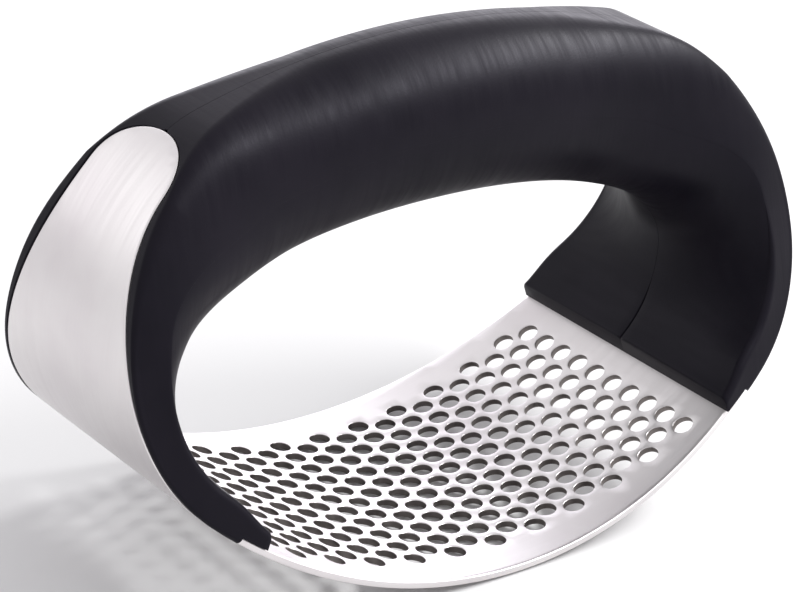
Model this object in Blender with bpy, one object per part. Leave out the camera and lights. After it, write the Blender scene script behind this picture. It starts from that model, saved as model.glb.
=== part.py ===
"""Rocker garlic press: a bent, perforated steel strip held by a two-shell arched handle.

Run with:  blender --background --python part.py

Lengths below are millimetres; MM turns them into Blender metres.  +X runs along the press, -Y is
its front and +Z is up.  The press stands on the lowest line of its curved plate at the origin.

Almost every piece is laid out in "strip coordinates": s runs along the outer face of the steel from
the middle of the plate, y runs across, and depth runs inward from that outer face.
"""
import math

import bmesh
import bpy
import numpy as np
from mathutils import Matrix, Vector
from mathutils.geometry import delaunay_2d_cdt

MM = 0.001
HANDS = ((-1, "left"), (1, "right"))

# ---- clearances and stock ----------------------------------------------------------------------
GAP = 0.3                  # between any two pieces that touch
STEEL = 1.0                # thickness of the stainless strip
WALL = 2.4                 # moulded wall of the handle shells

# ---- side outline: arcs of the strip's outer face and of the handle above it --------------------
ROCKER_RADIUS = 69.4       # curved plate that rocks on the board
ROCKER_ANGLE = 41.5
FOOT_RADIUS = 24.4         # from the plate up to the widest point
SIDE_RADIUS = 33.0
SIDE_ANGLE = 50.0
SHOULDER_RADIUS = 20.5
SHOULDER_ANGLE = 23.0      # the top arc closes what is left, up to the middle

# ---- finger opening: underside of the handle in the middle plane --------------------------------
OPENING_HALF_LENGTH = 43.8
OPENING_TOP = 45.8
OPENING_WAIST = 28.7       # height where the opening is longest
OPENING_POWER = 2.14       # roundness of the arch, 2 is an ellipse
OPENING_HEEL_RADIUS = 17.6
OPENING_HEEL = 15.4        # height of the foot's inner lip above the board

# ---- perforation --------------------------------------------------------------------------------
HOLE_PITCH = 4.0
HOLE_DIAMETER = 3.0
HOLE_SIDES = 8
HOLE_ROWS = 22
HOLES_PER_ROW = 10

# ---- strip outline, as half widths --------------------------------------------------------------
PLATE_HALF_WIDTH = 26.4
PLATE_BARREL = 0.0020      # how fast the plate narrows away from the middle
NECK_AT = 46.4             # where the plate steps in to the tongue
TONGUE_ROOT_HALF_WIDTH = 19.4
TONGUE_END_HALF_WIDTH = 8.6
TONGUE_TAPER_FROM = 52.0
TONGUE_TAPER_TO = 96.8
TONGUE_TIP_LENGTH = 7.6
TONGUE_END = 102.8

# ---- handle section -----------------------------------------------------------------------------
FOOT_AT = 41.3             # the feet start this far along the strip
GRIP_HALF_WIDTH = 10.7
FOOT_EXTRA_WIDTH = 13.3    # how much wider the feet are than the grip, each side
WIDTH_FROM = 32.0
WIDTH_TO = 114.4
LIP_DEPTH = 3.4            # depth of the side edge at the very end of a foot
EDGE_DEPTH = 5.3           # depth of the side edge up the foot
GRIP_EDGE_DEPTH = 12.0
EDGE_GROWS_FROM = 80.0
EDGE_GROWS_TO = 104.0
CORNER = 0.7               # outer corner of the feet
LEAN = 1.5                 # the side faces lean in by this towards the outside
LEAN_FROM = 46.0
LEAN_TO = 80.0
ROUND_FROM = 70.0          # the flat side grows into a round flank between these
ROUND_TO = 106.0
RIM = 0.65                 # narrowest flat left beside the tongue's recess
FLAT_TO = 130.0            # the flat on the outside has faded out here
INNER_CORNER = 1.0
CROWN_FOOT = 1.2           # power of the inner crown, 0.5 makes it a half ellipse
CROWN_ROUND = 0.8          # power at which the inner corner has faded out
CROWN_FROM = 56.0
CROWN_TO = 96.0

# ---- inside the handle --------------------------------------------------------------------------
CAVITY_FROM = 68.0
CAVITY_CORNER = 0.5        # smallest corner in the hollow
FIXING_AT = 86.0           # where the anchors and cross pins sit along the strip
PIN_DIAMETER = 3.0
PIN_LENGTH = 18.0
PIN_DEPTH = 7.2            # pin centre, inward from the strip's outer face
BLOCK_LENGTH = 8.0
BLOCK_WIDTH = 10.5
BLOCK_DEPTH = 11.6
ANCHOR_LENGTH = 7.0
ANCHOR_FOOT_HALF_WIDTH = 5.0
ANCHOR_FOOT_THICKNESS = 1.2
ANCHOR_TAPER = 0.2         # the foot thins by this towards its edges
ANCHOR_WEB_HALF_WIDTH = 1.0
ANCHOR_WEB_REACH = 9.6
POST_RADIUS = 3.4
PEG_RADIUS = 1.7
PEG_LENGTH = 3.6
POST_STEP = 26.0           # spacing of the three locating posts in the grip
SET_BACK = 0.1             # posts and blocks stop this far short of the shell's mating face
OVERCUT = 2.0              # how far cutting bodies run past the surface they cut

STATION_STEP = 5.0         # spacing of the handle's cross sections
FLANK_POINTS = 4           # points on each half of a section's side
ROD_TWIST = 0.11           # radians


def smooth(t):
    """Smooth step from 0 to 1."""
    t = min(max(t, 0.0), 1.0)
    return t * t * (3.0 - 2.0 * t)


# ---- outer path ---------------------------------------------------------------------------------
def outer_arcs():
    """Arcs of the outer face as (start length, start x, start z, start heading, radius)."""
    arcs = []
    s, x, z, heading = 0.0, 0.0, 0.0, 0.0
    turns = [(ROCKER_RADIUS, math.radians(ROCKER_ANGLE)),
             (FOOT_RADIUS, math.radians(90.0 - ROCKER_ANGLE)),
             (SIDE_RADIUS, math.radians(SIDE_ANGLE)),
             (SHOULDER_RADIUS, math.radians(SHOULDER_ANGLE))]
    for radius, angle in turns:
        arcs.append((s, x, z, heading, radius))
        x += radius * (math.sin(heading + angle) - math.sin(heading))
        z += radius * (math.cos(heading) - math.cos(heading + angle))
        heading += angle
        s += radius * angle
    top_radius = x / math.sin(math.pi - heading)
    arcs.append((s, x, z, heading, top_radius))
    return arcs, s + top_radius * (math.pi - heading)


ARCS, TOP_AT = outer_arcs()


def outer(s):
    """Point and inward direction on the outer face at length s, which is negative on the left."""
    side = -1.0 if s < 0 else 1.0
    length = abs(s)
    start, x, z, heading, radius = [arc for arc in ARCS if arc[0] <= length][-1]
    turned = heading + (length - start) / radius
    x += radius * (math.sin(turned) - math.sin(heading))
    z += radius * (math.cos(heading) - math.cos(turned))
    return side * x, z, -side * math.sin(turned), math.cos(turned)


def place(s, y, depth):
    """Strip coordinates to a point in metres."""
    x, z, inward_x, inward_z = outer(s)
    return Vector(((x + depth * inward_x) * MM, y * MM, (z + depth * inward_z) * MM))


# ---- inner path ---------------------------------------------------------------------------------
def inner_path():
    """Middle-plane underside of the handle from its top to the foot's lip, with lengths."""
    rise = OPENING_TOP - OPENING_WAIST
    points = []
    for t in np.linspace(0.5 * math.pi, 0.0, 160):
        x = OPENING_HALF_LENGTH * max(math.cos(t), 0.0) ** (2.0 / OPENING_POWER)
        z = OPENING_WAIST + rise * max(math.sin(t), 0.0) ** (2.0 / OPENING_POWER)
        points.append((x, z))
    heel = math.asin((OPENING_WAIST - OPENING_HEEL) / OPENING_HEEL_RADIUS)
    for t in np.linspace(0.0, heel, 40)[1:]:
        x = OPENING_HALF_LENGTH - OPENING_HEEL_RADIUS * (1.0 - math.cos(t))
        points.append((x, OPENING_WAIST - OPENING_HEEL_RADIUS * math.sin(t)))
    points = np.array(points)
    steps = np.hypot(*np.diff(points, axis=0).T)
    return points, np.concatenate([[0.0], np.cumsum(steps)])


INNER, INNER_LENGTH = inner_path()


def inner(s):
    """The inner-path point that faces the outer face at length s."""
    share = (TOP_AT - abs(s)) / (TOP_AT - FOOT_AT)
    at = share * INNER_LENGTH[-1]
    x = float(np.interp(at, INNER_LENGTH, INNER[:, 0]))
    z = float(np.interp(at, INNER_LENGTH, INNER[:, 1]))
    return (-x if s < 0 else x), z


def ruler(s):
    """Start point, inward unit direction and full depth of the handle section at length s."""
    x, z, _, _ = outer(s)
    inner_x, inner_z = inner(s)
    depth = math.hypot(inner_x - x, inner_z - z)
    return x, z, (inner_x - x) / depth, (inner_z - z) / depth, depth


# ---- handle section -----------------------------------------------------------------------------
def half_width(s):
    share = smooth((WIDTH_TO - abs(s)) / (WIDTH_TO - WIDTH_FROM))
    return GRIP_HALF_WIDTH + FOOT_EXTRA_WIDTH * share


def edge_depth(s):
    foot = LIP_DEPTH + (EDGE_DEPTH - LIP_DEPTH) * smooth((abs(s) - FOOT_AT) / 12.0)
    grow = smooth((abs(s) - EDGE_GROWS_FROM) / (EDGE_GROWS_TO - EDGE_GROWS_FROM))
    return foot + (GRIP_EDGE_DEPTH - EDGE_DEPTH) * grow


def crown_power(s):
    share = smooth((abs(s) - CROWN_FROM) / (CROWN_TO - CROWN_FROM))
    return CROWN_FOOT + (0.5 - CROWN_FOOT) * share


def roundness(s):
    """0 where the side of the handle is a flat face, 1 where it is a full round."""
    return smooth((abs(s) - ROUND_FROM) / (ROUND_TO - ROUND_FROM))


def inner_corner(s):
    """Radius between the side face and the underside; it fades as the underside turns round."""
    share = (crown_power(s) - CROWN_ROUND) / (CROWN_FOOT - CROWN_ROUND)
    return INNER_CORNER * min(max(share, 0.02), 1.0)


def flat_half_width(s):
    """Half width of the flat on the outside; it fades out past the tongue."""
    tip_from = TONGUE_END - TONGUE_TIP_LENGTH
    fade = min(max((FLAT_TO - abs(s)) / (FLAT_TO - tip_from), 0.0), 1.0) ** 1.5
    return max((tongue_half_width(min(abs(s), tip_from)) + RIM) * fade, RIM)


def flank(s, count):
    """(y, depth) points down the side of half a section, from the outside to the inner corner."""
    width = half_width(s)
    end = edge_depth(s) - inner_corner(s)
    top = width - LEAN * smooth((abs(s) - LEAN_FROM) / (LEAN_TO - LEAN_FROM))
    start = flat_half_width(s)
    share = roundness(s)
    points = []
    for t in np.linspace(0.0, 1.0, 2 * count):
        turn = 0.5 * math.pi * min(2.0 * t, 1.0)
        fall = max(2.0 * t - 1.0, 0.0)
        flat_y = top - CORNER * (1.0 - math.sin(turn)) + (width - top) * fall
        flat_depth = CORNER * (1.0 - math.cos(turn)) + (end - CORNER) * fall
        round_y = start + (width - start) * math.sin(0.5 * math.pi * t)
        round_depth = end * (1.0 - math.cos(0.5 * math.pi * t))
        points.append((flat_y + (round_y - flat_y) * share,
                       flat_depth + (round_depth - flat_depth) * share))
    return points


def crown(s, share):
    """Depth of the underside at a share of the half width, 0 in the middle plane."""
    edge = edge_depth(s)
    full = ruler(s)[4]
    return edge + (full - edge) * max(1.0 - share * share, 0.0) ** crown_power(s)


def shell_outline(s):
    """(y, depth) outline of half a handle section, from the outer to the inner middle."""
    side = flank(s, FLANK_POINTS)
    width = half_width(s)
    corner = inner_corner(s)
    edge = edge_depth(s)
    points = [(0.5 * GAP, 0.0), (0.5 * side[0][0], 0.0)] + side
    for t in (0.25 * math.pi, 0.5 * math.pi):
        points.append((width - corner * (1.0 - math.cos(t)), edge - corner * (1.0 - math.sin(t))))
    for t in np.linspace(0.5 * math.pi, 0.0, 8)[1:]:
        points.append((max((width - corner) * math.sin(t), 0.5 * GAP), crown(s, math.sin(t))))
    return points


def cavity_outline(s):
    """(y, depth) outline of the hollow, which runs past the middle plane."""
    top = STEEL + GAP + WALL
    edge = edge_depth(s)
    full = ruler(s)[4]
    widest = 1.0 - WALL / half_width(s)
    if edge < top + WALL + CAVITY_CORNER:
        level = (top + WALL + 2.0 * CAVITY_CORNER - edge) / (full - edge)
        widest = min(widest, math.sqrt(1.0 - level ** (1.0 / crown_power(s))))
    width = widest * half_width(s)
    across = max(roundness(s) * (width - CAVITY_CORNER), CAVITY_CORNER)
    inward = max(roundness(s) * (edge - top), CAVITY_CORNER)
    flat = width - across
    points = [(-WALL, top), (0.5 * flat, top)]
    for t in np.linspace(0.0, 0.5 * math.pi, 4):
        points.append((flat + across * math.sin(t), top + inward * (1.0 - math.cos(t))))
    for share in widest * np.sin(np.linspace(0.5 * math.pi, 0.0, 6)):
        points.append((share * half_width(s), crown(s, share) - WALL))
    points.append((-WALL, crown(s, 0.0) - WALL))
    return points


# ---- mesh helpers -------------------------------------------------------------------------------
def object_from(bm, name, material=None):
    """A scene object from a bmesh, normals outward."""
    bmesh.ops.recalc_face_normals(bm, faces=bm.faces)
    mesh = bpy.data.meshes.new(name)
    bm.to_mesh(mesh)
    bm.free()
    item = bpy.data.objects.new(name, mesh)
    bpy.context.scene.collection.objects.link(item)
    if material:
        mesh.materials.append(material)
    return item


def loft(rings, name, material=None):
    """A closed body through equal rings of points, capped at both ends."""
    bm = bmesh.new()
    loops = [[bm.verts.new(point) for point in ring] for ring in rings]
    count = len(loops[0])
    for first, second in zip(loops, loops[1:]):
        for i in range(count):
            j = (i + 1) % count
            bm.faces.new((first[i], first[j], second[j], second[i]))
    bm.faces.new(list(reversed(loops[0])))
    bm.faces.new(loops[-1])
    bmesh.ops.triangulate(bm, faces=[face for face in bm.faces if len(face.verts) > 4])
    return object_from(bm, name, material)


def cutter(item):
    """Marks a body as a tool for a Boolean."""
    item.hide_render = True
    item.display_type = "WIRE"
    return item


def combine(item, other, operation, solver="EXACT"):
    """Adds a Boolean modifier that uses other as its tool."""
    modifier = item.modifiers.new(operation.title() + " " + other.name, "BOOLEAN")
    modifier.operation = operation
    modifier.solver = solver
    modifier.object = cutter(other)


def rod(name, centre, radius, start_y, end_y, sides=20):
    """A cylinder along Y between two y values, its sides turned off the handle's own edges."""
    bm = bmesh.new()
    turn = Matrix.Rotation(0.5 * math.pi, 4, "X") @ Matrix.Rotation(ROD_TWIST, 4, "Z")
    middle = Matrix.Translation(Vector((centre[0], 0.5 * (start_y + end_y), centre[1])) * MM)
    bmesh.ops.create_cone(bm, cap_ends=True, segments=sides, radius1=radius * MM, radius2=radius * MM,
                          depth=abs(end_y - start_y) * MM, matrix=middle @ turn)
    return object_from(bm, name)


def bent_bar(name, outline, start, end, steps, material=None):
    """A closed (y, depth) outline swept along the strip from one length to another."""
    rings = [[place(s, y, depth) for y, depth in outline] for s in np.linspace(start, end, steps)]
    return loft(rings, name, material)


def paint(name, colour, roughness, metallic):
    """A Principled material."""
    material = bpy.data.materials.new(name)
    material.use_nodes = True
    shader = material.node_tree.nodes["Principled BSDF"]
    shader.inputs["Base Color"].default_value = (*colour, 1.0)
    shader.inputs["Roughness"].default_value = roughness
    shader.inputs["Metallic"].default_value = metallic
    return material


# ---- steel strip --------------------------------------------------------------------------------
def plate_half_width(s):
    return PLATE_HALF_WIDTH - PLATE_BARREL * s * s


def tongue_half_width(s):
    """Half width of the tongue: a smooth taper, then an elliptical tip."""
    length = abs(s)
    share = smooth((TONGUE_TAPER_TO - length) / (TONGUE_TAPER_TO - TONGUE_TAPER_FROM))
    width = TONGUE_END_HALF_WIDTH + (TONGUE_ROOT_HALF_WIDTH - TONGUE_END_HALF_WIDTH) * share
    past = (length - (TONGUE_END - TONGUE_TIP_LENGTH)) / TONGUE_TIP_LENGTH
    if past > 0.0:
        width *= math.sqrt(max(1.0 - past * past, 0.0))
    return width


def blank_edge():
    """One long side of the flat blank as (s, half width), from the left tip to the right one."""
    right = [(s, plate_half_width(s)) for s in np.linspace(0.0, NECK_AT, 13)]
    right += [(s, tongue_half_width(s)) for s in np.linspace(NECK_AT, TONGUE_END - TONGUE_TIP_LENGTH, 13)]
    for t in np.linspace(0.0, 0.5 * math.pi, 8)[1:]:
        s = TONGUE_END - TONGUE_TIP_LENGTH * (1.0 - math.sin(t))
        right.append((s, tongue_half_width(s)))
    left = [(-s, width) for s, width in reversed(right)]
    return left + right[1:]


def hole_centres():
    """Centres of the holes on the flat blank, rows offset by half a pitch."""
    row_step = HOLE_PITCH * math.sqrt(3.0) / 2.0
    centres = []
    for row in range(HOLE_ROWS):
        s = (row - 0.5 * (HOLE_ROWS - 1)) * row_step
        shift = 0.25 * HOLE_PITCH * (-1 if row % 2 else 1)
        for column in range(HOLES_PER_ROW):
            y = (column - 0.5 * (HOLES_PER_ROW - 1)) * HOLE_PITCH + shift
            centres.append((s, y))
    return centres


def hole_ring(centre):
    """Corners of one hole on the blank."""
    radius = 0.5 * HOLE_DIAMETER
    angles = [2.0 * math.pi * (i + 0.5) / HOLE_SIDES for i in range(HOLE_SIDES)]
    return [(centre[0] + radius * math.cos(a), centre[1] + radius * math.sin(a)) for a in angles]


def blank_triangles():
    """Triangulates the flat blank, holes left open."""
    edge = blank_edge()
    outline = edge[:-1] + [(s, -width) for s, width in reversed(edge[1:])]
    points = [Vector(point) for point in outline]
    faces = [list(range(len(points)))]
    lines = []
    for s, width in edge[2:-2]:
        points += [Vector((s, y)) for y in (-0.5 * width, 0.0, 0.5 * width) if abs(s) > FOOT_AT]
    centres = hole_centres()
    for centre in centres:
        first = len(points)
        points += [Vector(point) for point in hole_ring(centre)]
        lines += [(first + i, first + (i + 1) % HOLE_SIDES) for i in range(HOLE_SIDES)]
    verts, _, tris, _, _, _ = delaunay_2d_cdt(points, lines, faces, 1, 1e-5)
    places = np.array(centres)
    inside = 0.5 * HOLE_DIAMETER * math.cos(math.pi / HOLE_SIDES)
    kept = []
    for tri in tris:
        middle = np.mean([verts[i][:] for i in tri], axis=0)
        if np.hypot(*(places - middle).T).min() > inside * 0.995:
            kept.append(tri)
    return verts, kept


def build_strip(material):
    """The perforated plate and both tongues: one blank, bent to the outer path."""
    verts, tris = blank_triangles()
    bm = bmesh.new()
    under = [bm.verts.new(place(v.x, v.y, 0.0)) for v in verts]
    over = [bm.verts.new(place(v.x, v.y, STEEL)) for v in verts]
    rim = {}
    for tri in tris:
        bm.faces.new([over[i] for i in tri])
        bm.faces.new([under[i] for i in reversed(tri)])
        for a, b in zip(tri, list(tri[1:]) + [tri[0]]):
            rim[(a, b)] = True
    for a, b in rim:
        if (b, a) not in rim:
            bm.faces.new((over[b], over[a], under[a], under[b]))
    bmesh.ops.delete(bm, geom=[v for v in bm.verts if not v.link_faces], context="VERTS")
    return object_from(bm, "rocker_strip", material)


# ---- handle shells ------------------------------------------------------------------------------
def section_ring(s, outline, side):
    x, z, inward_x, inward_z, _ = ruler(s)
    return [Vector((x + d * inward_x, side * y, z + d * inward_z)) * MM for y, d in outline]


def arch(name, outline, start, side, material=None):
    """Lofts a section outline over the whole arch, from one foot to the other."""
    count = round((TOP_AT - start) / STATION_STEP)
    half = [start + (TOP_AT - start) * (i / (count - 0.5)) for i in range(count)]
    lengths = [-s for s in half] + half[::-1]
    return loft([section_ring(s, outline(s), side) for s in lengths], name, material)


def recess(name, hand):
    """Room for the strip in a foot: plate and tongue, grown by the gap, cut from outside inward."""
    full = GRIP_HALF_WIDTH + FOOT_EXTRA_WIDTH + OVERCUT
    neck = NECK_AT + GAP
    tip_from = TONGUE_END - TONGUE_TIP_LENGTH
    rings = [(s, full) for s in np.linspace(FOOT_AT - OVERCUT, neck, 3)]
    rings += [(s, tongue_half_width(s) + GAP) for s in np.linspace(neck, tip_from, 13)]
    for t in np.linspace(0.0, 0.5 * math.pi, 7)[1:]:
        s = tip_from + TONGUE_TIP_LENGTH * math.sin(t)
        rings.append((s + GAP * math.sin(t), tongue_half_width(s) + GAP))
    floor = STEEL + GAP
    return loft([[place(hand * s, y, depth) for y, depth in
                  ((-w, -OVERCUT), (w, -OVERCUT), (w, floor), (-w, floor))] for s, w in rings], name)


def pin_centre(hand):
    """Middle of a cross pin in the x, z plane."""
    x, z, inward_x, inward_z = outer(hand * FIXING_AT)
    return x + PIN_DEPTH * inward_x, z + PIN_DEPTH * inward_z


def anchor_outline(grow):
    """T section of a strip anchor, grown by a clearance."""
    foot = ANCHOR_FOOT_HALF_WIDTH + grow
    web = ANCHOR_WEB_HALF_WIDTH + grow
    near = STEEL + GAP - grow
    step = STEEL + GAP + ANCHOR_FOOT_THICKNESS + grow
    far = STEEL + GAP + ANCHOR_WEB_REACH + grow
    edge = step - ANCHOR_TAPER
    return [(-foot, near), (foot, near), (foot, edge), (web, step), (web, far), (-web, far),
            (-web, step), (-foot, edge)]


def anchor_body(name, hand, grow, material=None):
    middle = hand * FIXING_AT
    reach = 0.5 * ANCHOR_LENGTH + grow
    return bent_bar(name, anchor_outline(grow), middle - reach, middle + reach, 3, material)


def pin_block(name, hand, side):
    """Solid block that holds one end of a cross pin inside a shell."""
    reach = 0.5 * BLOCK_LENGTH
    near = 0.5 * GAP + SET_BACK
    outline = [(near, STEEL + GAP + 1.0), (BLOCK_WIDTH, STEEL + GAP + 1.0),
               (BLOCK_WIDTH, BLOCK_DEPTH), (near, BLOCK_DEPTH)]
    outline = [(side * y, depth) for y, depth in outline]
    middle = hand * FIXING_AT
    return bent_bar(name, outline, middle - reach, middle + reach, 3)


def post_centres():
    """Middles of the three locating posts in the x, z plane."""
    centres = []
    for hand in (-1, 0, 1):
        s = TOP_AT - abs(hand) * POST_STEP
        x, z, inward_x, inward_z, depth = ruler(s)
        middle = 0.5 * depth
        x += middle * inward_x
        centres.append((x * (hand or 1), z + middle * inward_z))
    return centres


def build_shell(name, side, material):
    """One half of the handle, with its cavity, strip recesses, pin blocks and posts.

    EXACT leaves open slivers where the posts meet the thin curved walls; MANIFOLD closes them.
    """
    shell = arch(name, shell_outline, FOOT_AT, side, material)
    tag = "front" if side < 0 else "back"
    combine(shell, arch("cavity_" + tag, cavity_outline, CAVITY_FROM, side), "DIFFERENCE", "MANIFOLD")
    near = side * (0.5 * GAP + SET_BACK)
    wall = side * (GRIP_HALF_WIDTH - 0.5 * WALL)
    for i, centre in enumerate(post_centres()):
        combine(shell, rod(f"post_{tag}_{i}", centre, POST_RADIUS, near, wall), "UNION", "MANIFOLD")
    for hand, end in HANDS:
        combine(shell, pin_block(f"block_{tag}_{end}", hand, side), "UNION", "MANIFOLD")
    for i, centre in enumerate(post_centres()):
        if side < 0:
            peg = rod(f"peg_{i}", centre, PEG_RADIUS, -OVERCUT, PEG_LENGTH, 16)
            combine(shell, peg, "UNION", "MANIFOLD")
        else:
            socket = rod(f"socket_{i}", centre, PEG_RADIUS + GAP, -OVERCUT, PEG_LENGTH + GAP, 16)
            combine(shell, socket, "DIFFERENCE", "MANIFOLD")
    for hand, end in HANDS:
        bore = rod(f"bore_{tag}_{end}", pin_centre(hand), 0.5 * PIN_DIAMETER + GAP,
                   -side * OVERCUT, side * (0.5 * PIN_LENGTH + GAP), 16)
        combine(shell, bore, "DIFFERENCE", "MANIFOLD")
        combine(shell, anchor_body(f"pocket_{tag}_{end}", hand, GAP), "DIFFERENCE", "MANIFOLD")
        combine(shell, recess(f"recess_{tag}_{end}", hand), "DIFFERENCE", "MANIFOLD")
    return shell


# ---- anchors and pins ---------------------------------------------------------------------------
def build_anchor(end, hand, material):
    """T-shaped anchor spot-welded behind a tongue; the cross pin runs through its web."""
    anchor = anchor_body("strip_anchor_" + end, hand, 0.0, material)
    hole = rod("anchor_hole_" + end, pin_centre(hand), 0.5 * PIN_DIAMETER + GAP, -OVERCUT, OVERCUT, 12)
    combine(anchor, hole, "DIFFERENCE", "MANIFOLD")
    return anchor


def build_pin(end, hand, material):
    """Cross pin trapped between the two shells."""
    pin = rod("cross_pin_" + end, pin_centre(hand), 0.5 * PIN_DIAMETER,
              -0.5 * PIN_LENGTH, 0.5 * PIN_LENGTH, 16)
    pin.data.materials.append(material)
    return pin


def main():
    for item in list(bpy.data.objects):
        bpy.data.objects.remove(item, do_unlink=True)
    steel = paint("brushed_steel", (0.72, 0.71, 0.70), 0.28, 1.0)
    plastic = paint("black_plastic", (0.012, 0.011, 0.014), 0.38, 0.0)
    fixing = paint("fixing_steel", (0.55, 0.55, 0.56), 0.35, 1.0)
    build_strip(steel)
    build_shell("grip_shell_front", -1, plastic)
    build_shell("grip_shell_back", 1, plastic)
    for hand, end in HANDS:
        build_anchor(end, hand, fixing)
        build_pin(end, hand, fixing)


main()
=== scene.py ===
"""Looks of the rocker garlic press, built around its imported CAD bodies.

Lengths are millimetres; MM turns them into Blender metres.  Strip coordinates: s runs along the
outer face of the steel from the middle of the plate, y across, depth inward from that face.
"""

import math

import bmesh
import bpy
import numpy as np
from mathutils import Matrix, Vector
from mathutils.geometry import delaunay_2d_cdt

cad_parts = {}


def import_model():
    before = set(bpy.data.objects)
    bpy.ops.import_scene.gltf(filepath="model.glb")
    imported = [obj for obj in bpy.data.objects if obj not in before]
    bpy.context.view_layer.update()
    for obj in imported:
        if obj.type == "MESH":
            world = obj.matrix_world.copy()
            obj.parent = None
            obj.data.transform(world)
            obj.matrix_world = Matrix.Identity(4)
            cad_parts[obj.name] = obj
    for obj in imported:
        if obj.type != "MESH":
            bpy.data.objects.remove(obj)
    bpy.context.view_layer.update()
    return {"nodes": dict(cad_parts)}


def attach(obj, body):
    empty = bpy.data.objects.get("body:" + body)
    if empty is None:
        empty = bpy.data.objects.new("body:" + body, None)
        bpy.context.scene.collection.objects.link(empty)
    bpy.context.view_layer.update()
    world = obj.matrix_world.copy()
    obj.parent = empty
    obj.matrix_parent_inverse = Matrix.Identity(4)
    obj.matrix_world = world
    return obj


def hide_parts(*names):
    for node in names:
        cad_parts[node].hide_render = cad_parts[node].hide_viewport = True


MM = 0.001

# ---- stock and clearances -----------------------------------------------------------------------
STEEL = 1.0
RECESS_GAP = 0.25          # round the tongue
SEAT_GAP = 0.06            # between the plate and the feet that stand on it

# ---- outer face of the strip: arcs --------------------------------------------------------------
ROCKER_RADIUS, ROCKER_ANGLE = 69.4, 41.5
FOOT_RADIUS = 24.4
SIDE_RADIUS, SIDE_ANGLE = 33.0, 50.0
SHOULDER_RADIUS, SHOULDER_ANGLE = 20.5, 23.0

# ---- underside of the handle in the middle plane ------------------------------------------------
OPENING_HALF_LENGTH = 43.8
OPENING_TOP = 45.8
OPENING_WAIST = 28.7
OPENING_POWER = 2.14
OPENING_HEEL_RADIUS = 17.6
OPENING_HEEL = 15.4

# ---- perforation --------------------------------------------------------------------------------
HOLE_PITCH, HOLE_DIAMETER = 4.0, 3.0
HOLE_SIDES = 28
HOLE_ROWS, HOLES_PER_ROW = 22, 10
HOLE_EASE = 0.14           # rounding of the hole's rim
# the hole's wall takes a dark material: painted shade inside the holes
WALL_SLOT = 1              # material slot of the hole's wall

# ---- strip outline ------------------------------------------------------------------------------
PLATE_HALF_WIDTH, PLATE_BARREL = 26.4, 0.0020
NECK_AT = 46.4
NECK_CORNER = 0.8
TONGUE_ROOT_HALF_WIDTH, TONGUE_END_HALF_WIDTH = 19.4, 8.6
TONGUE_TAPER_FROM, TONGUE_TAPER_TO = 52.0, 96.8
TONGUE_TIP_LENGTH, TONGUE_END = 7.6, 102.8
STRIP_EASE = 0.22          # rounding of the strip's own edges
FILL_STEP_ALONG, FILL_STEP_ACROSS = 1.3, 1.9
FILL_CLEARANCE = 0.35      # of the skin's own points from the holes

# ---- handle section -----------------------------------------------------------------------------
FOOT_AT = 41.3
GRIP_HALF_WIDTH, FOOT_EXTRA_WIDTH = 10.7, 13.3
WIDTH_FROM, WIDTH_TO = 32.0, 114.4
LIP_DEPTH, EDGE_DEPTH, GRIP_EDGE_DEPTH = 3.4, 5.3, 12.0
LIP_RUN = 12.0             # length over which the lip reaches the edge depth
EDGE_GROWS_FROM, EDGE_GROWS_TO = 80.0, 104.0
CORNER = 0.7
LEAN, LEAN_FROM, LEAN_TO = 1.5, 46.0, 80.0
ROUND_FROM, ROUND_TO = 70.0, 106.0
RIM = 0.65                 # narrowest flat left beside the tongue
FLAT_TO = 130.0            # the flat on the outside has faded out here
INNER_CORNER = 1.0
CROWN_FOOT, CROWN_ROUND, CROWN_FROM, CROWN_TO = 1.2, 0.8, 56.0, 96.0
RIM_EASE = 0.25            # rounding of the recess rim and the foot's end
SINK = 0.04                # the moulding lies this far under the tongue's face
SEAM_GAP = 0.05
SEAM_GROOVE = 0.3          # depth of the seam's chamfer on the feet
SEAM_FADES_FROM, SEAM_FADES_TO = 50.0, 58.0
STATION_STEP = 0.9
FLANK_POINTS = 9

# ---- view ---------------------------------------------------------------------------------------
CAMERA_AT = (-238.75, -323.21, 210.80)
CAMERA_RIGHT = (0.815613, -0.577531, 0.035103)
CAMERA_DOWN = (-0.210477, -0.352662, -0.911772)
CAMERA_AHEAD = (0.538957, 0.736265, -0.409193)
LENS, SENSOR = 144.38, 36.0

# ---- studio lights in metres and watts: name, place, target, size, power, colour ------------------
LIGHTS = [("back", (0.65, 0.95, 0.34), (0.0, 0.0, 0.05), (1.1, 0.5), 4.0, (0.93, 0.90, 1.0)),
          ("shoulder", (0.56, -0.27, 0.60), (0.0, 0.0, 0.065), (0.8, 0.14), 10.0, (1.0, 1.0, 1.0)),
          ("left", (-0.60, 0.80, 0.46), (-0.05, 0.0, 0.04), (0.7, 0.5), 0.6, (1.0, 1.0, 1.0))]
FLOOR_HALF_SIZE, FLOOR_DROP = 4.0, 0.0003
WORLD_STRENGTH = 0.92


def smooth(t):
    t = min(max(t, 0.0), 1.0)
    return t * t * (3.0 - 2.0 * t)


def quarter(count):
    """Angles from 0 to a right angle."""
    return [0.5 * math.pi * i / count for i in range(count + 1)]


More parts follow.
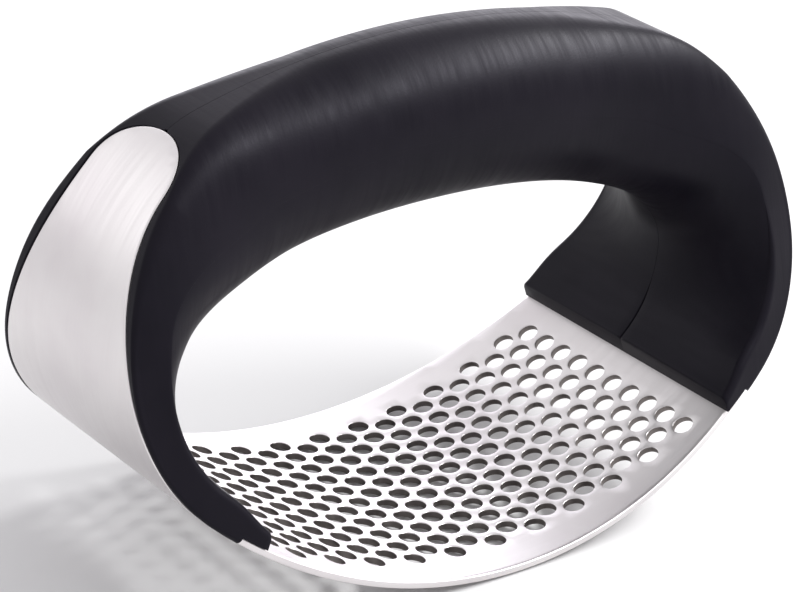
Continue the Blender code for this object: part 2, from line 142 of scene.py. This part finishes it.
# ---- outer path ---------------------------------------------------------------------------------
def outer_arcs():
    """Arcs of the outer face as (start length, x, z, heading, radius), and the length to the top."""
    arcs = []
    s, x, z, heading = 0.0, 0.0, 0.0, 0.0
    turns = [(ROCKER_RADIUS, math.radians(ROCKER_ANGLE)),
             (FOOT_RADIUS, math.radians(90.0 - ROCKER_ANGLE)),
             (SIDE_RADIUS, math.radians(SIDE_ANGLE)),
             (SHOULDER_RADIUS, math.radians(SHOULDER_ANGLE))]
    for radius, angle in turns:
        arcs.append((s, x, z, heading, radius))
        x += radius * (math.sin(heading + angle) - math.sin(heading))
        z += radius * (math.cos(heading) - math.cos(heading + angle))
        heading += angle
        s += radius * angle
    top_radius = x / math.sin(math.pi - heading)
    arcs.append((s, x, z, heading, top_radius))
    return arcs, s + top_radius * (math.pi - heading)


ARCS, TOP_AT = outer_arcs()


def outer(s):
    """Point and inward direction on the outer face."""
    side = -1.0 if s < 0 else 1.0
    length = abs(s)
    start, x, z, heading, radius = [arc for arc in ARCS if arc[0] <= length][-1]
    turned = heading + (length - start) / radius
    x += radius * (math.sin(turned) - math.sin(heading))
    z += radius * (math.cos(heading) - math.cos(turned))
    return side * x, z, -side * math.sin(turned), math.cos(turned)


def inner_path():
    """Middle-plane underside of the handle from its top to the foot's lip."""
    rise = OPENING_TOP - OPENING_WAIST
    points = []
    for t in np.linspace(0.5 * math.pi, 0.0, 600):
        x = OPENING_HALF_LENGTH * max(math.cos(t), 0.0) ** (2.0 / OPENING_POWER)
        z = OPENING_WAIST + rise * max(math.sin(t), 0.0) ** (2.0 / OPENING_POWER)
        points.append((x, z))
    heel = math.asin((OPENING_WAIST - OPENING_HEEL) / OPENING_HEEL_RADIUS)
    for t in np.linspace(0.0, heel, 200)[1:]:
        x = OPENING_HALF_LENGTH - OPENING_HEEL_RADIUS * (1.0 - math.cos(t))
        points.append((x, OPENING_WAIST - OPENING_HEEL_RADIUS * math.sin(t)))
    points = np.array(points)
    steps = np.hypot(*np.diff(points, axis=0).T)
    return points, np.concatenate([[0.0], np.cumsum(steps)])


INNER, INNER_LENGTH = inner_path()


def ruler(s):
    """Start point, inward unit direction and full depth of the handle section at length s."""
    x, z, _, _ = outer(s)
    at = (TOP_AT - abs(s)) / (TOP_AT - FOOT_AT) * INNER_LENGTH[-1]
    inner_x = float(np.interp(at, INNER_LENGTH, INNER[:, 0])) * (-1.0 if s < 0 else 1.0)
    inner_z = float(np.interp(at, INNER_LENGTH, INNER[:, 1]))
    depth = math.hypot(inner_x - x, inner_z - z)
    return x, z, (inner_x - x) / depth, (inner_z - z) / depth, depth


# ---- widths -------------------------------------------------------------------------------------
def plate_half_width(s):
    return PLATE_HALF_WIDTH - PLATE_BARREL * s * s


def tongue_half_width(s):
    """Half width of the tongue: a smooth taper, then an elliptical tip."""
    length = abs(s)
    share = smooth((TONGUE_TAPER_TO - length) / (TONGUE_TAPER_TO - TONGUE_TAPER_FROM))
    width = TONGUE_END_HALF_WIDTH + (TONGUE_ROOT_HALF_WIDTH - TONGUE_END_HALF_WIDTH) * share
    past = (length - (TONGUE_END - TONGUE_TIP_LENGTH)) / TONGUE_TIP_LENGTH
    if past > 0.0:
        width *= math.sqrt(max(1.0 - past * past, 0.0))
    return width


def half_width(s):
    share = smooth((WIDTH_TO - abs(s)) / (WIDTH_TO - WIDTH_FROM))
    return GRIP_HALF_WIDTH + FOOT_EXTRA_WIDTH * share


def edge_depth(s):
    foot = LIP_DEPTH + (EDGE_DEPTH - LIP_DEPTH) * smooth((abs(s) - FOOT_AT) / LIP_RUN)
    grow = smooth((abs(s) - EDGE_GROWS_FROM) / (EDGE_GROWS_TO - EDGE_GROWS_FROM))
    return foot + (GRIP_EDGE_DEPTH - EDGE_DEPTH) * grow


def crown_power(s):
    share = smooth((abs(s) - CROWN_FROM) / (CROWN_TO - CROWN_FROM))
    return CROWN_FOOT + (0.5 - CROWN_FOOT) * share


def roundness(s):
    """0 where the side of the handle is a flat face, 1 where it is a full round."""
    return smooth((abs(s) - ROUND_FROM) / (ROUND_TO - ROUND_FROM))


def inner_corner(s):
    """Radius between the side face and the underside; it fades as the underside turns round."""
    share = (crown_power(s) - CROWN_ROUND) / (CROWN_FOOT - CROWN_ROUND)
    return INNER_CORNER * min(max(share, 0.02), 1.0)


def flat_half_width(s):
    """Half width of the flat on the outside; it fades out past the tongue."""
    tip_from = TONGUE_END - TONGUE_TIP_LENGTH
    fade = min(max((FLAT_TO - abs(s)) / (FLAT_TO - tip_from), 0.0), 1.0) ** 1.5
    return max((tongue_half_width(min(abs(s), tip_from)) + RIM) * fade, RIM)


def flank(s, count, squeeze=0.0):
    """(y, depth) points down the side of half a section, from the outside to the inner corner."""
    width = half_width(s) - squeeze
    end = edge_depth(s) - inner_corner(s)
    top = width - LEAN * smooth((abs(s) - LEAN_FROM) / (LEAN_TO - LEAN_FROM))
    start = flat_half_width(s)
    share = roundness(s)
    points = []
    for t in np.linspace(0.0, 1.0, 2 * count + 1):
        turn = 0.5 * math.pi * min(2.0 * t, 1.0)
        fall = max(2.0 * t - 1.0, 0.0)
        flat_y = top - CORNER * (1.0 - math.sin(turn)) + (width - top) * fall
        flat_depth = CORNER * (1.0 - math.cos(turn)) + (end - CORNER) * fall
        round_y = start + (width - start) * math.sin(0.5 * math.pi * t)
        round_depth = end * (1.0 - math.cos(0.5 * math.pi * t))
        points.append((flat_y + (round_y - flat_y) * share,
                       flat_depth + (round_depth - flat_depth) * share))
    return points


# ---- mesh helpers -------------------------------------------------------------------------------
def object_from(bm, name, material, sharp=35.0):
    """A smooth-shaded scene object from a bmesh."""
    mesh = bpy.data.meshes.new(name)
    bm.to_mesh(mesh)
    bm.free()
    mesh.shade_smooth()
    mesh.set_sharp_from_angle(angle=math.radians(sharp))
    mesh.materials.append(material)
    item = bpy.data.objects.new(name, mesh)
    bpy.context.scene.collection.objects.link(item)
    return item


def loft(rings, name, material, sharp=35.0):
    """A closed body through equal closed rings, capped at both ends."""
    bm = bmesh.new()
    loops = [[bm.verts.new(point) for point in ring] for ring in rings]
    count = len(loops[0])
    for first, second in zip(loops, loops[1:]):
        for i in range(count):
            j = (i + 1) % count
            bm.faces.new((first[i], first[j], second[j], second[i]))
    bm.faces.new(list(reversed(loops[0])))
    bm.faces.new(loops[-1])
    bmesh.ops.recalc_face_normals(bm, faces=bm.faces)
    return object_from(bm, name, material, sharp)


# ---- strip --------------------------------------------------------------------------------------
def strip_side(inset):
    """One long side of the blank from tip to tip, moved in by inset."""
    right = [(s, plate_half_width(s) - inset) for s in np.linspace(0.0, NECK_AT - inset, 60)]
    shoulder = right[-1][1]
    neck = tongue_half_width(NECK_AT) - inset
    for t in quarter(4)[1:]:
        right.append((NECK_AT - inset, shoulder + (neck + NECK_CORNER - shoulder) * math.sin(t)))
    for t in quarter(5)[1:]:
        right.append((NECK_AT - inset + NECK_CORNER * (1.0 - math.cos(t)),
                      neck + NECK_CORNER * (1.0 - math.sin(t))))
    tip_from = TONGUE_END - TONGUE_TIP_LENGTH
    for s in np.linspace(NECK_AT - inset + NECK_CORNER, tip_from, 70)[1:]:
        right.append((s, tongue_half_width(s) - inset))
    shrink_y = (tongue_half_width(tip_from) - inset) / tongue_half_width(tip_from)
    reach = TONGUE_TIP_LENGTH - inset
    for t in quarter(28)[1:]:
        s = tip_from + reach * math.sin(t)
        width = tongue_half_width(tip_from + TONGUE_TIP_LENGTH * math.sin(t)) * shrink_y
        right.append((s, width))
    right[-1] = (right[-1][0], 0.0)
    left = [(-s, width) for s, width in reversed(right)]
    return left + right[1:]


def strip_outline(inset):
    side = strip_side(inset)
    return side[:-1] + [(s, -width) for s, width in reversed(side[1:])]


def hole_centres():
    """Centres of the staggered holes on the flat blank."""
    row_step = HOLE_PITCH * math.sqrt(3.0) / 2.0
    centres = []
    for row in range(HOLE_ROWS):
        s = (row - 0.5 * (HOLE_ROWS - 1)) * row_step
        shift = 0.25 * HOLE_PITCH * (-1 if row % 2 else 1)
        for column in range(HOLES_PER_ROW):
            centres.append((s, (column - 0.5 * (HOLES_PER_ROW - 1)) * HOLE_PITCH + shift))
    return centres


def circle(centre, radius):
    return [(centre[0] + radius * math.cos(2.0 * math.pi * i / HOLE_SIDES),
             centre[1] + radius * math.sin(2.0 * math.pi * i / HOLE_SIDES)) for i in range(HOLE_SIDES)]


def filler(centres):
    """Points between the outlines that keep the bent faces smooth."""
    places = np.array(centres)
    clear = 0.5 * HOLE_DIAMETER + HOLE_EASE + FILL_CLEARANCE
    points = []
    for s in np.arange(-TONGUE_END, TONGUE_END, FILL_STEP_ALONG):
        width = plate_half_width(s) if abs(s) < NECK_AT else tongue_half_width(s)
        limit = width - STRIP_EASE - 0.5
        for y in np.arange(-limit, limit, FILL_STEP_ACROSS):
            if abs(abs(s) - NECK_AT) > 0.7 and np.hypot(*(places - (s, y)).T).min() > clear:
                points.append((s, y))
    return points


def blank_triangles(outline, loops, extra):
    """Triangulates the flat blank between its outline and the holes."""
    points = [Vector(p) for p in outline]
    faces = [list(range(len(points)))]
    lines = []
    for loop in loops:
        first = len(points)
        points += [Vector(p) for p in loop]
        lines += [(first + i, first + (i + 1) % len(loop)) for i in range(len(loop))]
    points += [Vector(p) for p in extra]
    verts, _, tris, _, _, _ = delaunay_2d_cdt(points, lines, faces, 1, 1e-6)
    return verts, tris


def bent(s, y, depth):
    x, z, inward_x, inward_z = outer(s)
    return Vector(((x + depth * inward_x) * MM, y * MM, (z + depth * inward_z) * MM))


def eased(radius):
    """(inset, depth) steps through the thickness with both edges rounded."""
    first = [(radius * (1.0 - math.sin(t)), radius * (1.0 - math.cos(t))) for t in quarter(3)]
    second = [(inset, STEEL - depth) for inset, depth in reversed(first)]
    return first + second


def build_strip(material, hole_wall_shade_material):
    """Plate and tongues: flat skins inside and outside, joined through rounded edges."""
    centres = hole_centres()
    rims = [circle(c, 0.5 * HOLE_DIAMETER + HOLE_EASE) for c in centres]
    outline = strip_outline(STRIP_EASE)
    verts, tris = blank_triangles(outline, rims, filler(centres))
    places = np.array(centres)
    kept = []
    for tri in tris:
        middle = np.mean([verts[i][:] for i in tri], axis=0)
        if np.hypot(*(places - middle).T).min() > (0.5 * HOLE_DIAMETER + HOLE_EASE) * 0.99:
            kept.append(tri)
    bm = bmesh.new()
    skins = [[bm.verts.new(bent(v.x, v.y, depth)) for v in verts] for depth in (0.0, STEEL)]
    for tri in kept:
        bm.faces.new([skins[0][i] for i in reversed(tri)])
        bm.faces.new([skins[1][i] for i in tri])
    join_edges(bm, skins, outline, eased(STRIP_EASE), strip_outline)
    for number, centre in enumerate(centres):
        grown = lambda inset, c=centre: circle(c, 0.5 * HOLE_DIAMETER + inset)
        first = len(outline) + number * HOLE_SIDES
        # the hole walls take the dark material, which is painted shade inside the holes
        join_edges(bm, skins, rims[number], eased(HOLE_EASE), grown, first, WALL_SLOT)
    bmesh.ops.delete(bm, geom=[v for v in bm.verts if not v.link_faces], context="VERTS")
    bmesh.ops.recalc_face_normals(bm, faces=bm.faces)
    item = object_from(bm, "rocker_strip_steel", material, 50.0)
    item.data.materials.append(hole_wall_shade_material)
    return item


def join_edges(bm, skins, loop, steps, shape, first=0, wall=0):
    """Bands of faces from the outer skin's loop to the inner skin's, through (inset, depth) steps."""
    middle = len(steps) // 2 - 1
    count = len(loop)
    rings = [skins[0][first:first + count]]
    for inset, depth in steps[1:-1]:
        rings.append([bm.verts.new(bent(s, y, depth)) for s, y in shape(inset)])
    rings.append(skins[1][first:first + count])
    for number, (near, far) in enumerate(zip(rings, rings[1:])):
        for i in range(count):
            j = (i + 1) % count
            face = bm.faces.new((near[i], near[j], far[j], far[i]))
            face.material_index = wall if abs(number - middle) <= 1 else 0


# ---- handle halves ------------------------------------------------------------------------------
def seam_chamfer(s):
    return SEAM_GROOVE * (1.0 - smooth((abs(s) - SEAM_FADES_FROM) / (SEAM_FADES_TO - SEAM_FADES_FROM)))


def recess_points(s, floor):
    """(y, depth) from the middle over the recess floor and up its rim, always the same count."""
    edge = 0.5 * SEAM_GAP
    open_width = tongue_half_width(s) + RECESS_GAP if abs(s) < TONGUE_END + RECESS_GAP else 0.0
    if abs(s) < NECK_AT - RECESS_GAP:
        open_width = 0.6 * half_width(s)
    points = [(edge + (open_width - edge) * share, floor) for share in np.linspace(0.0, 1.0, 9)]
    if open_width == 0.0:
        points = [(edge + 0.02 * i, floor) for i in range(9)]
    start = points[-1][0]
    rim_top = 0.0 if floor > 0.0 and abs(s) >= NECK_AT - RECESS_GAP else floor
    if rim_top == floor:
        points += [(start + 0.05 * (i + 1), floor) for i in range(6)]
        return points, floor
    points.append((start, 0.5 * (floor + RIM_EASE)))
    for t in quarter(4):
        points.append((start + RIM_EASE * (1.0 - math.cos(t)), RIM_EASE * (1.0 - math.sin(t))))
    return points, 0.0


def floor_depth(s):
    """Depth of the strip's recess, 0 past the tongue's tip."""
    if abs(s) > TONGUE_END + RECESS_GAP:
        return 0.0
    return STEEL + SEAT_GAP


def outline_at(s, lift=0.0, squeeze=0.0):
    """Closed (y, depth) outline of half a section; lift and squeeze round off the foot's end."""
    width = half_width(s) - squeeze
    edge = edge_depth(s) - lift
    floor = floor_depth(s)
    points, top = recess_points(s, floor)
    side = flank(s, FLANK_POINTS, squeeze)
    start = points[-1][0]
    reach = max(side[0][0], start + 0.05)
    points += [(start + (reach - start) * share, top) for share in np.linspace(0.0, 1.0, 8)[1:-1]]
    points += [(max(y, reach), max(depth, top)) for y, depth in side]
    corner = inner_corner(s)
    high = edge - corner
    for t in quarter(7)[1:]:
        points.append((width - corner * (1.0 - math.cos(t)), high + corner * math.sin(t)))
    full = ruler(s)[4] - lift
    chamfer = max(seam_chamfer(s), 0.02)
    near = chamfer + 0.5 * SEAM_GAP + 0.05
    for t in np.linspace(0.5 * math.pi, 0.0, 40)[1:-1]:
        share = math.sin(t)
        y = (width - corner) * share
        crown = edge + (full - edge) * max(1.0 - share * share, 0.0) ** crown_power(s)
        points.append((y, crown) if y > near else (near, full))
    points.append((chamfer * 0.5 + 0.5 * SEAM_GAP, full - 0.25 * chamfer))
    points.append((0.5 * SEAM_GAP, full - chamfer))
    return points


def handle_stations():
    """(length, lift, squeeze) of the sections on one side, from the foot's end to the top."""
    ease = RIM_EASE
    stations = [(FOOT_AT, ease, ease), (FOOT_AT + 0.3 * ease, 0.3 * ease, 0.3 * ease),
                (FOOT_AT + ease, 0.0, 0.0)]
    neck = NECK_AT - RECESS_GAP
    tip_from = TONGUE_END - TONGUE_TIP_LENGTH
    stations += [(s, 0.0, 0.0) for s in np.linspace(FOOT_AT + 1.0, neck - 0.01, 6)]
    stations += [(s, 0.0, 0.0) for s in np.linspace(neck + 0.01, tip_from, 54)]
    for t in quarter(30)[1:]:
        stations.append((tip_from + (TONGUE_TIP_LENGTH + RECESS_GAP) * math.sin(t) - 1e-4, 0.0, 0.0))
    count = round((TOP_AT - TONGUE_END) / STATION_STEP)
    stations += [(s, 0.0, 0.0) for s in np.linspace(TONGUE_END + RECESS_GAP + 0.02, TOP_AT, count)]
    return stations


def section_ring(s, side, points):
    x, z, inward_x, inward_z, _ = ruler(s)
    depths = [(y, max(depth, SINK)) for y, depth in points]
    return [Vector((x + d * inward_x, side * y, z + d * inward_z)) * MM for y, d in depths]


def build_half(name, side, material):
    """Front (side -1) or back half of the handle."""
    half = handle_stations()
    left = [(-s, lift, squeeze) for s, lift, squeeze in half]
    rings = [section_ring(s, side, outline_at(s, lift, squeeze))
             for s, lift, squeeze in left + half[-2::-1]]
    return loft(rings, name, material, 40.0)


# ---- materials ----------------------------------------------------------------------------------
class Nodes:
    """Short calls for building a material's node tree."""

    def __init__(self, name):
        self.material = bpy.data.materials.new(name)
        self.material.use_nodes = True
        self.tree = self.material.node_tree
        self.shader = self.tree.nodes["Principled BSDF"]
        self.place = self.tree.nodes.new("ShaderNodeTexCoord").outputs["Object"]

    def link(self, source, target):
        self.tree.links.new(source, target)

    def noise(self, scale, stretch=(1.0, 1.0, 1.0), detail=3.0, rough=0.55):
        mapping = self.tree.nodes.new("ShaderNodeMapping")
        mapping.inputs["Scale"].default_value = stretch
        self.link(self.place, mapping.inputs["Vector"])
        node = self.tree.nodes.new("ShaderNodeTexNoise")
        node.inputs["Scale"].default_value = scale
        node.inputs["Detail"].default_value = detail
        node.inputs["Roughness"].default_value = rough
        self.link(mapping.outputs["Vector"], node.inputs["Vector"])
        return node.outputs["Fac"]

    def span(self, value, low, high, start=0.3, end=0.7):
        node = self.tree.nodes.new("ShaderNodeMapRange")
        node.inputs["From Min"].default_value = start
        node.inputs["From Max"].default_value = end
        node.inputs["To Min"].default_value = low
        node.inputs["To Max"].default_value = high
        self.link(value, node.inputs["Value"])
        return node.outputs["Result"]

    def ramp(self, value, stops):
        node = self.tree.nodes.new("ShaderNodeValToRGB")
        band = node.color_ramp.elements
        while len(band) < len(stops):
            band.new(0.5)
        for element, (at, colour) in zip(band, stops):
            element.position = at
            element.color = (*colour, 1.0)
        self.link(value, node.inputs["Fac"])
        return node.outputs["Color"]

    def math(self, operation, first, second):
        node = self.tree.nodes.new("ShaderNodeMath")
        node.operation = operation
        for socket, value in zip(node.inputs, (first, second)):
            if isinstance(value, (int, float)):
                socket.default_value = value
            else:
                self.link(value, socket)
        return node.outputs[0]

    def bump(self, height, strength, distance, normal=None):
        node = self.tree.nodes.new("ShaderNodeBump")
        node.inputs["Strength"].default_value = strength
        node.inputs["Distance"].default_value = distance
        self.link(height, node.inputs["Height"])
        if normal:
            self.link(normal, node.inputs["Normal"])
        return node.outputs["Normal"]

    def set(self, **values):
        for name, value in values.items():
            self.shader.inputs[name.replace("_", " ")].default_value = value


def grip_material():
    """Satin black moulding with fine grain, faint cross streaks and handling smudges."""
    n = Nodes("grip_black")
    tone = n.noise(55.0, detail=4.0)
    n.link(n.ramp(tone, [(0.35, (0.0040, 0.0034, 0.0060)), (0.7, (0.0075, 0.0062, 0.0100))]),
           n.shader.inputs["Base Color"])
    smudge = n.span(n.noise(70.0, (1.0, 1.0, 1.0), 5.0), 0.36, 0.45)
    streak = n.span(n.noise(60.0, (22.0, 1.2, 1.2), 3.0), -0.06, 0.07)
    n.link(n.math("ADD", smudge, streak), n.shader.inputs["Roughness"])
    grain = n.bump(n.noise(2600.0, detail=2.0), 0.12, 0.00006)
    lines = n.bump(n.noise(60.0, (30.0, 1.0, 1.0), 3.0), 0.14, 0.00008, grain)
    n.link(lines, n.shader.inputs["Normal"])
    n.set(IOR=1.46, Specular_IOR_Level=0.13, Specular_Tint=(0.90, 0.88, 1.0, 1.0))
    return n.material


def steel_material():
    """Satin stainless steel, brushed along the strip."""
    n = Nodes("strip_satin_steel")
    cloud = n.noise(38.0, detail=4.0)
    n.link(n.ramp(cloud, [(0.3, (0.66, 0.625, 0.635)), (0.55, (0.74, 0.715, 0.715)),
                          (0.75, (0.79, 0.77, 0.765))]),
           n.shader.inputs["Base Color"])
    brush = n.noise(45.0, (1.0, 34.0, 1.0), 4.0)
    n.link(n.math("ADD", n.span(brush, 0.30, 0.42), n.span(cloud, -0.03, 0.04)),
           n.shader.inputs["Roughness"])
    fine = n.bump(brush, 0.16, 0.00004)
    n.link(n.bump(n.noise(900.0, detail=2.0), 0.05, 0.00004, fine), n.shader.inputs["Normal"])
    n.set(Metallic=1.0)
    return n.material


def hole_wall_shade_material():
    """Punched wall of a hole: dull, with upright score marks; its dark colour is painted shade inside
    the hole.
    """
    n = Nodes("strip_hole_wall_painted_shade")
    score = n.noise(320.0, (1.0, 1.0, 0.12), 3.0)
    # dark wall colours: painted shade of the hollow seen through the holes
    n.link(n.ramp(score, [(0.3, (0.13, 0.115, 0.11)), (0.7, (0.23, 0.21, 0.20))]),
           n.shader.inputs["Base Color"])
    n.link(n.span(score, 0.42, 0.60), n.shader.inputs["Roughness"])
    n.link(n.bump(score, 0.12, 0.00004), n.shader.inputs["Normal"])
    n.set(Metallic=1.0)
    return n.material


def fixing_material():
    """Plain turned steel of the hidden fixings."""
    n = Nodes("fixing_plain_steel")
    turned = n.noise(80.0, (1.0, 20.0, 1.0), 3.0)
    n.link(n.ramp(turned, [(0.35, (0.46, 0.46, 0.47)), (0.7, (0.60, 0.60, 0.61))]),
           n.shader.inputs["Base Color"])
    n.link(n.span(turned, 0.30, 0.44), n.shader.inputs["Roughness"])
    n.link(n.bump(turned, 0.1, 0.00005), n.shader.inputs["Normal"])
    n.set(Metallic=1.0)
    return n.material


def floor_material():
    n = Nodes("floor_pale")
    tone = n.noise(3.0, detail=2.0)
    n.link(n.ramp(tone, [(0.3, (0.63, 0.63, 0.63)), (0.7, (0.66, 0.66, 0.66))]),
           n.shader.inputs["Base Color"])
    n.set(Roughness=0.8, Specular_IOR_Level=0.1)
    return n.material


# ---- stage --------------------------------------------------------------------------------------
def add_floor():
    bm = bmesh.new()
    bmesh.ops.create_grid(bm, x_segments=2, y_segments=2, size=FLOOR_HALF_SIZE)
    mesh = bpy.data.meshes.new("floor")
    bm.to_mesh(mesh)
    bm.free()
    mesh.materials.append(floor_material())
    floor = bpy.data.objects.new("floor", mesh)
    floor.location.z = -FLOOR_DROP
    bpy.context.scene.collection.objects.link(floor)


def add_light(name, place, target, size, power, colour):
    """A rectangular area light aimed at a point."""
    data = bpy.data.lights.new(name, "AREA")
    data.shape = "RECTANGLE"
    data.size, data.size_y = size
    data.energy = power
    data.color = colour
    item = bpy.data.objects.new(name, data)
    item.location = place
    aim = Vector(target) - Vector(place)
    item.rotation_euler = aim.to_track_quat("-Z", "Y").to_euler()
    bpy.context.scene.collection.objects.link(item)


def add_world():
    world = bpy.data.worlds.new("studio")
    world.use_nodes = True
    back = world.node_tree.nodes["Background"]
    back.inputs["Color"].default_value = (0.99, 0.975, 1.0, 1.0)
    back.inputs["Strength"].default_value = WORLD_STRENGTH
    bpy.context.scene.world = world


def add_camera():
    data = bpy.data.cameras.new("camera")
    data.lens = LENS
    data.sensor_width = SENSOR
    data.clip_start = 0.01
    item = bpy.data.objects.new("camera", data)
    right, down, ahead = Vector(CAMERA_RIGHT), Vector(CAMERA_DOWN), Vector(CAMERA_AHEAD)
    turn = Matrix((right, -down, -ahead)).transposed().to_4x4()
    item.matrix_world = Matrix.Translation(Vector(CAMERA_AT) * MM) @ turn
    bpy.context.scene.collection.objects.link(item)
    bpy.context.scene.camera = item


def main():
    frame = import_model()
    bpy.context.scene.view_settings.view_transform = "Standard"
    steel, grip, fixing = steel_material(), grip_material(), fixing_material()
    pieces = [(build_strip(steel, hole_wall_shade_material()), "rocker_strip", "strip_steel"),
              (build_half("grip_front_half", -1, grip), "grip_shell_front", "grip_plastic"),
              (build_half("grip_back_half", 1, grip), "grip_shell_back", "grip_plastic")]
    for piece, node, slot in pieces:
        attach(piece, "root")
        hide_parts(node)
    for name, node in frame["nodes"].items():
        if name.startswith(("strip_anchor", "cross_pin")):
            node.data.materials.clear()
            node.data.materials.append(fixing)
    add_floor()
    add_world()
    for name, place, target, size, power, colour in LIGHTS:
        add_light(name, place, target, size, power, colour)
    add_camera()


main()
